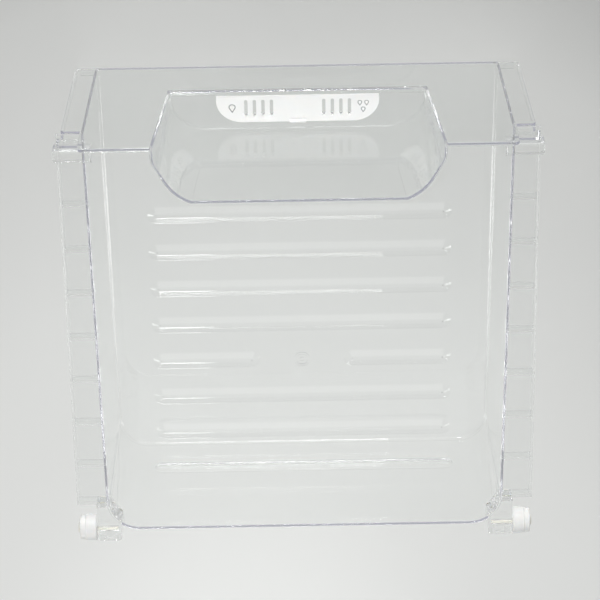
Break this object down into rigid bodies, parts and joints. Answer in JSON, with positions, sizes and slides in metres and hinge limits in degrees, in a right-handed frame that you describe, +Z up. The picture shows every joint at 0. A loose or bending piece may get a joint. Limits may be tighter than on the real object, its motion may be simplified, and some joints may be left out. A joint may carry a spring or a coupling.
{
  "type": "fridge crisper drawer",
  "caption": "Clear moulded fridge crisper drawer with a scooped handle bay, a sliding vent shutter, ribbed side runners and rear rollers.",
  "frame": {"origin": "centre of the drawer's box, on the plane of its underside", "axes": "+Z up, out of the open top; -Y towards the front panel and the user; +X to the right seen from the front"},
  "size_m": [0.46, 0.445, 0.207],
  "materials": {
    "clear_plastic": "clear, polished mould finish",
    "white_plastic": "satin white moulding",
    "roller_plastic": "white bearing-grade moulding",
    "axle_plastic": "natural off-white moulding"
  },
  "bodies": {
    "drawer": {"tub": "clear_plastic", "axle_right": "axle_plastic", "axle_left": "axle_plastic"},
    "shutter": {"vent_shutter": "white_plastic"},
    "right_roller": {"roller_right": "roller_plastic"},
    "left_roller": {"roller_left": "roller_plastic"}
  },
  "joints": [
    {"name": "shutter_slide", "type": "slide", "parent": "drawer", "child": "shutter", "axis": [1, 0, 0], "range_m": [0, 0.00415]},
    {"name": "right_roller_spin", "type": "hinge", "parent": "drawer", "child": "right_roller", "pos_m": [0.217, 0.209, 0.158], "axis": [1, 0, 0], "continuous": true},
    {"name": "left_roller_spin", "type": "hinge", "parent": "drawer", "child": "left_roller", "pos_m": [-0.217, 0.209, 0.158], "axis": [1, 0, 0], "continuous": true}
  ]
}
